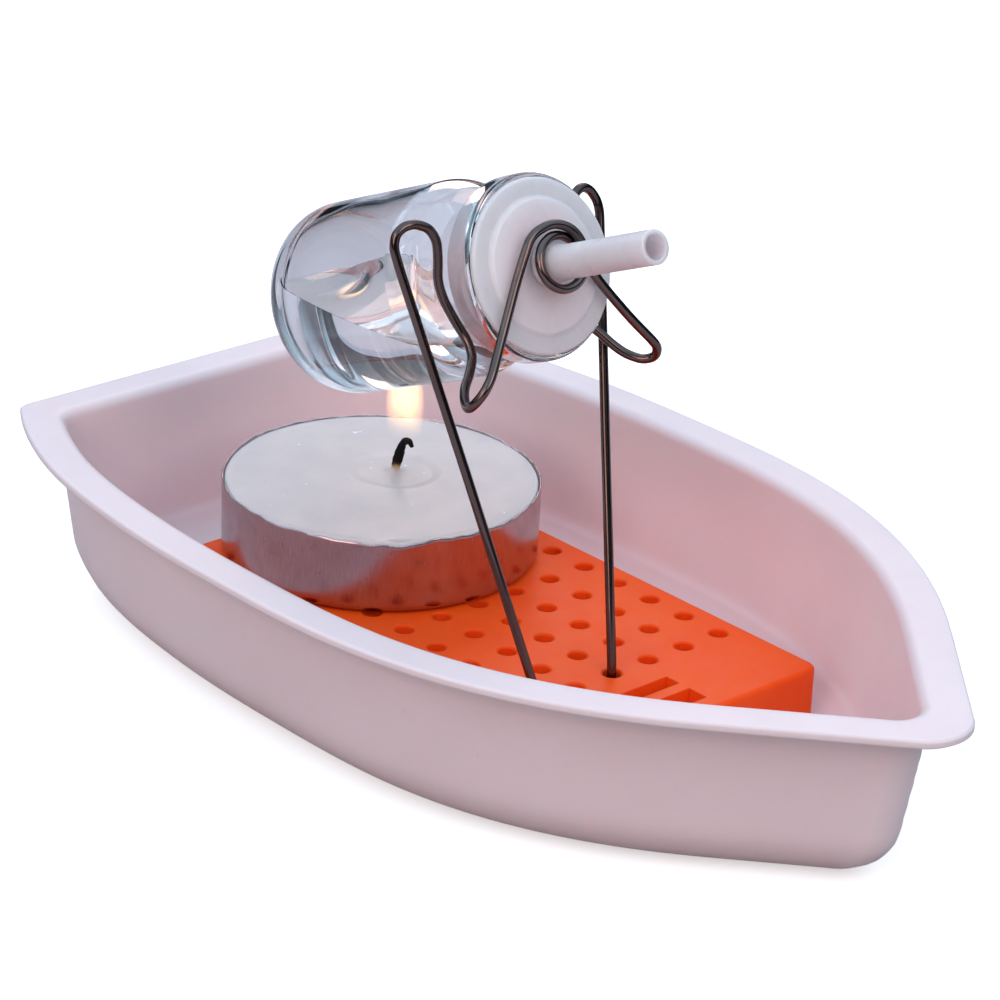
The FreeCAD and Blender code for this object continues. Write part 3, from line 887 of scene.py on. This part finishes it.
# ------------------------------------------------------------ set, camera
FLOOR_GLOW, FLOOR_BOUNCE = 0.52, 0.35
FLOOR_SEEN = (0.66, 0.585, 0.60, 1)
fm = make_mesh("floor_plane", [(-3000, -3000, 0), (3000, -3000, 0), (3000, 3000, 0), (-3000, 3000, 0)], [(0, 1, 2, 3)])
m = Mat("floor_pale")
m.set(Base_Color=(0.92, 0.92, 0.92, 1), Roughness=0.9, Specular_IOR_Level=0.1)
m.b.inputs["Emission Color"].default_value = (1, 1, 1, 1)
m.b.inputs["Emission Strength"].default_value = FLOOR_GLOW
dim = m.n("ShaderNodeBsdfDiffuse")
dim.inputs[0].default_value = (FLOOR_BOUNCE, FLOOR_BOUNCE, FLOOR_BOUNCE, 1)
path = m.n("ShaderNodeLightPath")
seen = m.n("ShaderNodeBsdfDiffuse")
seen.inputs[0].default_value = FLOOR_SEEN
fmix = m.n("ShaderNodeMixShader")
m.link(path.outputs["Is Diffuse Ray"], fmix.inputs[0])
m.link(seen.outputs[0], fmix.inputs[1])
m.link(dim.outputs[0], fmix.inputs[2])
fmix2 = m.n("ShaderNodeMixShader")
m.link(path.outputs["Is Camera Ray"], fmix2.inputs[0])
m.link(fmix.outputs[0], fmix2.inputs[1])
m.link(m.b.outputs[0], fmix2.inputs[2])
m.link(fmix2.outputs[0], m.out.inputs["Surface"])
paint(fm, m)

SKY, SKY_TINT = 1.48, (0.571, 0.80, 1.0)
world = bpy.data.worlds.new("studio")
scene.world = world
world.use_nodes = True
wt = world.node_tree
wt.nodes.clear()
wo = wt.nodes.new("ShaderNodeOutputWorld")
bg = wt.nodes.new("ShaderNodeBackground")
wc = wt.nodes.new("ShaderNodeTexCoord")
ws = wt.nodes.new("ShaderNodeSeparateXYZ")
wr_ = wt.nodes.new("ShaderNodeValToRGB")
el = wr_.color_ramp.elements
el.new(0.5)
el.new(0.5)
for e_, (p_, c_) in zip(el, [(0.0, 0.035), (0.26, 0.035), (0.50, 0.60), (1.0, 1.0)]):
    e_.position = p_
    e_.color = (c_ * SKY_TINT[0], c_ * SKY_TINT[1], c_ * SKY_TINT[2], 1)
wt.links.new(wc.outputs["Generated"], ws.inputs[0])
wt.links.new(ws.outputs[2], wr_.inputs[0])
wt.links.new(wr_.outputs[0], bg.inputs[0])
bg.inputs[1].default_value = SKY
bg2 = wt.nodes.new("ShaderNodeBackground")
bg2.inputs[0].default_value = (1, 1, 1, 1)
bg2.inputs[1].default_value = 1.0
lp = wt.nodes.new("ShaderNodeLightPath")
ms = wt.nodes.new("ShaderNodeMixShader")
wt.links.new(lp.outputs["Is Camera Ray"], ms.inputs[0])
wt.links.new(bg.outputs[0], ms.inputs[1])
wt.links.new(bg2.outputs[0], ms.inputs[2])
wt.links.new(ms.outputs[0], wo.inputs[0])


def area(name, loc, target, size, energy, color, size_y=None):
    l = bpy.data.lights.new(name, "AREA")
    l.energy = energy
    l.color = color
    l.size = size
    if size_y:
        l.shape = "RECTANGLE"
        l.size_y = size_y
    o = bpy.data.objects.new(name, l)
    o.location = loc
    o.rotation_mode = "QUATERNION"
    o.rotation_quaternion = (Vector(target) - Vector(loc)).to_track_quat("-Z", "Y")
    scene.collection.objects.link(o)
    return o


WARM = (1.0, 0.65, 0.56)
LIGHTS = [
    ("front_box", (0.22, -0.55, 0.30), (0, 0, 0.03), 0.35, 0.35, 1.18, WARM),
    ("left_box", (-0.32, -0.60, 0.36), (0, 0, 0.03), 0.30, 0.40, 0.34, WARM),
    ("right_box", (0.60, -0.02, 0.45), (0, 0, 0.03), 0.30, 0.40, 0.95, (1.0, 0.74, 0.64)),
    ("bow_fill", (-0.62, -0.10, 0.46), (0.03, 0, 0.02), 0.25, 0.25, 0.24, (0.75, 0.86, 1.0)),
    ("strip", (-0.02, -0.52, 0.50), (0, 0, 0.05), 0.035, 0.26, 0.16, (1.0, 0.95, 0.93)),
    ("back_box", (-0.42, 0.46, 0.42), (0, 0, 0.03), 0.30, 0.40, 0.80, WARM),
]
for nm, loc, tgt, sx, sy, en, cl in LIGHTS:
    area(nm, loc, tgt, sx, en, cl, sy)

cam = bpy.data.cameras.new("view")
cam.sensor_width = 36
cam.lens = 129.6
co = bpy.data.objects.new("view", cam)
R0, R1, R2 = Vector((0.66870, 0.74239, 0.04124)), Vector((0.32643, -0.24329, -0.91338)), Vector((-0.66805, 0.62423, -0.40502))
rot = Matrix((R0, -R1, -R2)).transposed()
co.matrix_world = Matrix.Translation((0.26159, -0.24993, 0.18452)) @ rot.to_4x4()
cam.clip_start, cam.clip_end = 0.01, 20
scene.collection.objects.link(co)
scene.camera = co
scene.view_settings.view_transform = "Standard"
scene.view_settings.look = "None"

bpy.context.view_layer.update()
